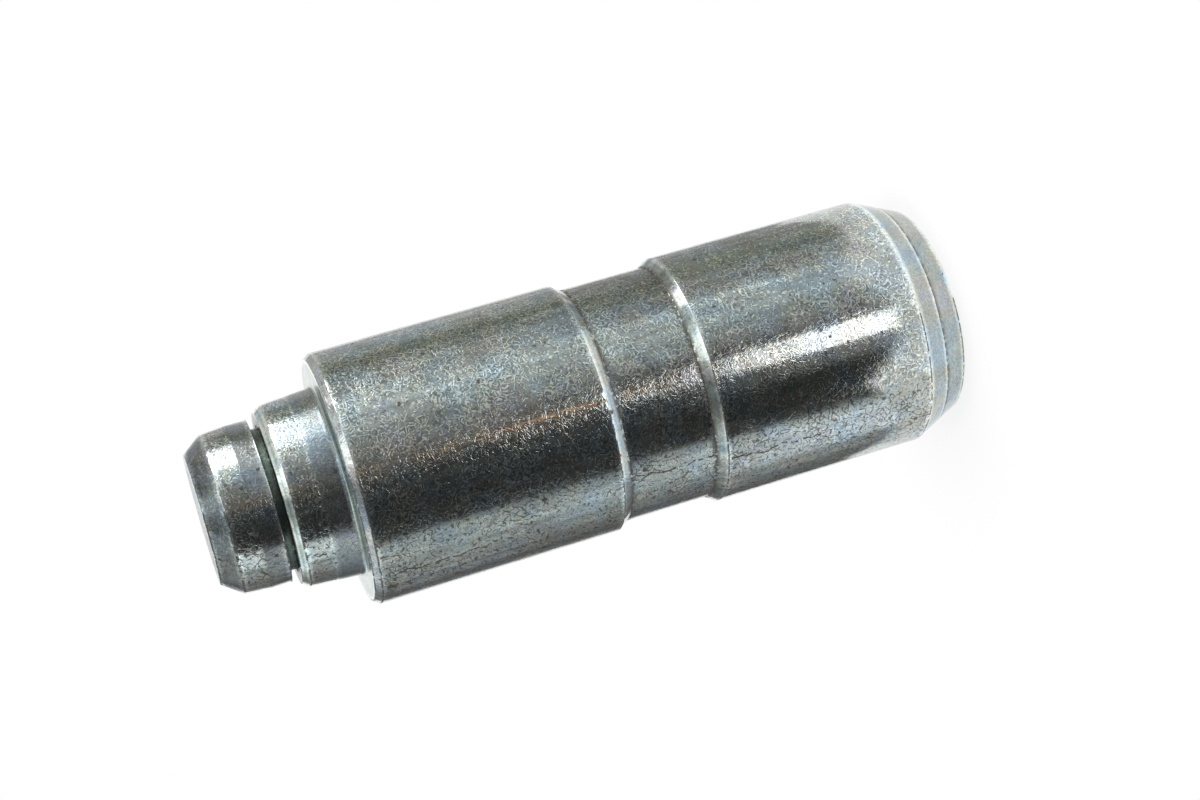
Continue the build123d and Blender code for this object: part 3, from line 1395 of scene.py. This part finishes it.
@dataclass
class Surroundings:
    """A white world, and cards in front of it that hold three rings of a room and its lamp boxes.

    The cards are a shell that the metal mirrors and the camera doesn't see. radius is in metres, and
    opening is half the gap, in degrees, through which the metal mirrors the white world.
    """

    ambient: float = 0.9
    radius: float = 20.0
    rows: int = 24
    columns: int = 72
    opening: float = 18.0
    clutter_rate: float = 9.0
    clutter_depth: float = 0.35
    rings: tuple[Ring, ...] = (
        Ring("walls", 0.0, 7.0, (
            (-180.0, 0.10, Tint.PLAIN),
            (-145.0, 0.20, Tint.PLAIN),
            (-120.0, 0.40, Tint.PLAIN),
            (-100.0, 0.55, Tint.COOL),
            (-72.0, 0.70, Tint.COOL),
            (-63.0, 0.08, Tint.PLAIN),
            (-40.0, 0.05, Tint.PLAIN),
            (-10.0, 0.08, Tint.COOL),
            (2.0, 0.20, Tint.WARM),
            (20.0, 0.30, Tint.PLAIN),
            (50.0, 0.75, Tint.COOL),
            (60.0, 0.85, Tint.COOL),
            (80.0, 0.45, Tint.PLAIN),
            (110.0, 0.30, Tint.OLIVE),
            (140.0, 0.50, Tint.PLAIN),
            (180.0, 0.34, Tint.PLAIN),
        )),
        Ring("ceiling", 24.0, 7.0, (
            (-180.0, 0.40, Tint.PLAIN),
            (-115.0, 0.75, Tint.COOL),
            (-75.0, 0.75, Tint.COOL),
            (-45.0, 0.25, Tint.COOL),
            (-15.0, 0.25, Tint.COOL),
            (10.0, 0.70, Tint.PLAIN),
            (60.0, 0.75, Tint.COOL),
            (100.0, 0.50, Tint.PLAIN),
            (180.0, 0.40, Tint.PLAIN),
        )),
        Ring("underside", -38.0, -7.0, (
            (-180.0, 0.35, Tint.PLAIN),
            (-135.0, 0.50, Tint.PLAIN),
            (-105.0, 0.95, Tint.COOL),
            (-88.0, 0.80, Tint.COOL),
            (-70.0, 0.20, Tint.PLAIN),
            (0.0, 0.20, Tint.PLAIN),
            (30.0, 0.40, Tint.OLIVE),
            (60.0, 1.00, Tint.OLIVE),
            (82.0, 1.00, Tint.OLIVE),
            (95.0, 0.50, Tint.OLIVE),
            (120.0, 0.28, Tint.OLIVE),
            (145.0, 0.50, Tint.PLAIN),
            (180.0, 0.33, Tint.PLAIN),
        )),
    )
    panels: tuple[Panel, ...] = (
        Panel("bench", 4.0, -24.0, 13.0, 12.0, 6.0, (0.07, 0.07, 0.07)),
        Panel("window_top", -80.0, 9.0, 15.0, 8.0, 8.0, (1.05, 1.15, 1.20)),
        Panel("key_box", 79.0, 12.0, 18.0, 12.5, 7.0, (3.0, 3.1, 3.1)),
        Panel("high_lamp", 90.0, 37.0, 10.0, 5.0, 5.0, (2.4, 2.4, 2.35)),
        Panel("top_lamp", 33.0, 55.0, 16.0, 9.0, 8.0, (1.75, 1.85, 1.85)),
        Panel("low_window", -93.0, -27.0, 17.0, 10.5, 9.0, (1.25, 1.36, 1.50)),
        Panel("lamp_glow", 2.0, -31.0, 25.0, 12.0, 9.0, (0.48, 0.47, 0.48)),
        Panel("low_lamp", -0.5, -27.2, 8.6, 10.3, 1.5, (3.0, 2.9, 2.95)),
        Panel("low_rail", 30.0, -38.0, 62.0, 3.0, 4.0, (1.7, 1.7, 1.5)),
        Panel("warm_strip", 1.5, -10.9, 0.7, 1.7, 0.8, (1.90, 0.95, 0.36)),
        Panel("floor_glint", 20.0, -84.0, 70.0, 4.0, 5.0, (3.4, 3.3, 2.8)),
        Panel("floor_strip", 97.0, -67.0, 15.0, 8.0, 5.0, (2.8, 2.8, 2.3)),
    )

    def build(self) -> bpy.types.Object:
        """Makes the white world and the cards and lamp boxes that stand in front of it."""
        self.world()
        mesh = bpy.data.meshes.new("studio_cards")
        mesh.from_pydata(*self.shell())
        mesh.materials.append(self.material())
        cards = set_out("studio_cards", mesh)
        cards.visible_camera = False
        cards.visible_diffuse = False
        cards.visible_shadow = False
        return cards

    def world(self) -> None:
        """Makes the world: the camera, metal and glass all see the same plain white."""
        world = bpy.data.worlds.new("studio")
        graph = fresh_graph(world)
        colour = graph.blend(shows_backdrop(graph), rgba(grey(self.ambient)), rgba(grey(1.0)))
        feeds = {"Color": colour, "Strength": 1.0}
        background = graph.out("ShaderNodeBackground", "Background", feeds)
        graph.node("ShaderNodeOutputWorld", {"Surface": background})
        bpy.context.scene.world = world

    def shell(self) -> tuple[list[Point], list[tuple[int, int]], list[tuple[int, ...]]]:
        """The points, edges and faces of a far shell round the bolt, open at the white backdrop."""
        points, faces = [], []
        for row in range(self.rows + 1):
            height = math.pi * (row / self.rows - 0.5)
            across = self.radius * math.cos(height)
            for column in range(self.columns):
                bearing = 2 * math.pi * column / self.columns
                x, y = across * math.sin(bearing), -across * math.cos(bearing)
                points.append((x, y, self.radius * math.sin(height)))
        for row in range(self.rows):
            for column in range(self.columns):
                middle = 360.0 * (column + 0.5) / self.columns
                if abs(middle - 180.0) < self.opening:
                    continue
                after = (column + 1) % self.columns
                near, far = row * self.columns, (row + 1) * self.columns
                faces.append((near + column, far + column, far + after, near + after))
        return points, [], faces

    def material(self) -> bpy.types.Material:
        """The cards' own light and dark, by bearing and height."""
        material = bpy.data.materials.new("studio_cards")
        graph = fresh_graph(material)
        way = graph.vector("NORMALIZE", graph.out("ShaderNodeTexCoord", "Object"))
        bearing = graph.bearing(way)
        height = graph.math("ARCSINE", graph.parts(way)["Z"])
        room = self.room(graph, bearing, height)
        seen = graph.vector("SCALE", room, scale=self.clutter(graph, way))
        for panel in self.panels:
            seen = graph.blend(self.mask(graph, bearing, height, panel), seen, rgba(panel.light))
        light = graph.out("ShaderNodeEmission", "Emission", {"Color": seen, "Strength": 1.0})
        graph.node("ShaderNodeOutputMaterial", {"Surface": light})
        return material

    def clutter(self, graph: Graph, way: Socket) -> Socket:
        """Lighter and darker things in the room, which break up its broad lights."""
        things = graph.noise(way, self.clutter_rate, 2.0)
        return graph.rise(things, 0.3, 0.7, 1.0 - self.clutter_depth, 1.0 + self.clutter_depth)

    def room(self, graph: Graph, bearing: Socket, height: Socket) -> Socket:
        """The colour of the rings, each over the one before."""
        share = graph.plus(graph.math("DIVIDE", bearing, 2 * math.pi), 0.5)
        seen: Optional[Socket] = None
        for ring in self.rings:
            ramp = graph.node("ShaderNodeValToRGB", {"Fac": share})
            lights = [
                (place / 360 + 0.5, tuple(level * part for part in tint.value))
                for place, level, tint in ring.stops
            ]
            fill_ramp(ramp.color_ramp, lights)
            colour = ramp.outputs["Color"]
            if seen is None:
                seen = colour
                continue
            within, beyond = (math.radians(ring.edge + side * ring.softness) for side in (-1, 1))
            seen = graph.blend(graph.rise(height, within, beyond), seen, colour)
        return seen

    @staticmethod
    def mask(graph: Graph, bearing: Socket, height: Socket, panel: Panel) -> Socket:
        """1 inside the panel and 0 outside it, with a soft border.

        Args:
            graph: The cards' graph.
            bearing: The looked-at bearing, in radians.
            height: The looked-at height above the horizon, in radians.
            panel: The panel.

        Returns:
            The mask's output.
        """
        aside = graph.aside(bearing, math.radians(panel.bearing))
        apart = graph.size(graph.minus(height, math.radians(panel.height)))
        soft = math.radians(panel.softness) / 2
        wide = math.radians(panel.half_width)
        tall = math.radians(panel.half_height)
        across = graph.rise(aside, wide + soft, wide - soft)
        upright = graph.rise(apart, tall + soft, tall - soft)
        return graph.times(across, upright)


@dataclass
class Floor:
    """A pale floor under the bolt that fades to white and keeps the bolt's soft shadow."""

    half_size: float = 0.038
    shade: Colour = grey(0.93)
    white: float = 0.82
    fade_start: float = 0.02
    fade_end: float = 0.036

    def build(self) -> bpy.types.Object:
        """Makes the floor."""
        mesh = bpy.data.meshes.new("studio_floor")
        size = self.half_size
        corners = [(-size, -size, 0), (size, -size, 0), (size, size, 0), (-size, size, 0)]
        mesh.from_pydata(corners, [], [(0, 1, 2, 3)])
        mesh.materials.append(self.material())
        floor = set_out("studio_floor", mesh)
        return floor

    def material(self) -> bpy.types.Material:
        """Matt white that turns to plain light with distance, and clear from below."""
        material = bpy.data.materials.new("studio_floor")
        graph = fresh_graph(material)
        seen = shows_backdrop(graph)
        away = graph.length(graph.out("ShaderNodeTexCoord", "Object"))
        white = graph.rise(away, self.fade_start, self.fade_end, self.white, 1.0)
        matt = graph.out("ShaderNodeBsdfDiffuse", "BSDF", {"Color": rgba(self.shade)})
        feeds = {"Color": rgba(grey(1.0)), "Strength": 1.0}
        light = graph.out("ShaderNodeEmission", "Emission", feeds)
        clear = graph.out("ShaderNodeBsdfTransparent", "BSDF")
        lit = self.mixed(graph, graph.times(seen, white), matt, light)
        below = graph.out("ShaderNodeNewGeometry", "Backfacing")
        surface = self.mixed(graph, below, lit, clear)
        graph.node("ShaderNodeOutputMaterial", {"Surface": surface})
        return material

    @staticmethod
    def mixed(graph: Graph, share: Feed, first: Socket, second: Socket) -> Socket:
        """The shader between first, at share 0, and second, at share 1."""
        mix = graph.node("ShaderNodeMixShader", {"Fac": share})
        graph.feed(mix.inputs[1], first)
        graph.feed(mix.inputs[2], second)
        return mix.outputs[0]


@dataclass
class TopLight:
    """A broad soft lamp overhead, which gives the floor its shadow."""

    place: Point = (0.15, -0.1, 0.6)
    size: float = 0.5
    power: float = 2.0

    def build(self) -> bpy.types.Object:
        """Hangs the lamp over the bolt."""
        lamp = bpy.data.lights.new("top_light", "AREA")
        lamp.size = self.size
        lamp.energy = self.power
        hung = set_out("top_light", lamp)
        hung.location = self.place
        hung.rotation_euler = Vector(self.place).to_track_quat("Z", "Y").to_euler()
        hung.visible_glossy = False
        return hung


@dataclass
class Viewpoint:
    """The camera: in front of the bolt and a little above its middle, and rolled on its side."""

    distance: float = 0.25448
    height: float = 0.09717
    aim: Point = (0.0004, 0.0, 0.04131)
    roll: float = -106.31
    lens: float = 66.12
    sensor: float = 36.0
    nearest: float = 0.01

    def build(self) -> bpy.types.Object:
        """Makes the camera and makes it the scene's own."""
        camera = bpy.data.cameras.new("camera")
        camera.lens = self.lens
        camera.sensor_width = self.sensor
        camera.clip_start = self.nearest
        stand = set_out("camera", camera)
        stand.location = (0.0, -self.distance, self.height)
        level = (Vector(self.aim) - Vector(stand.location)).to_track_quat("-Z", "Y")
        stand.rotation_mode = "QUATERNION"
        stand.rotation_quaternion = level @ Quaternion((0.0, 0.0, 1.0), math.radians(self.roll))
        bpy.context.scene.camera = stand
        return stand


def main() -> None:
    """Builds the studio and the bolt, and reports each piece."""
    logging.basicConfig(level=logging.INFO, format="%(name)s: %(message)s")
    bpy.context.scene.view_settings.view_transform = "Standard"
    for builder in (Viewpoint(), Surroundings(), Floor(), TopLight()):
        made = builder.build()
        LOG.info("studio: %s", made.name)
    piece = PivotBolt().build()
    LOG.info("piece: %s, %d faces", piece.name, len(piece.data.polygons))


if __name__ == "__main__":
    main()
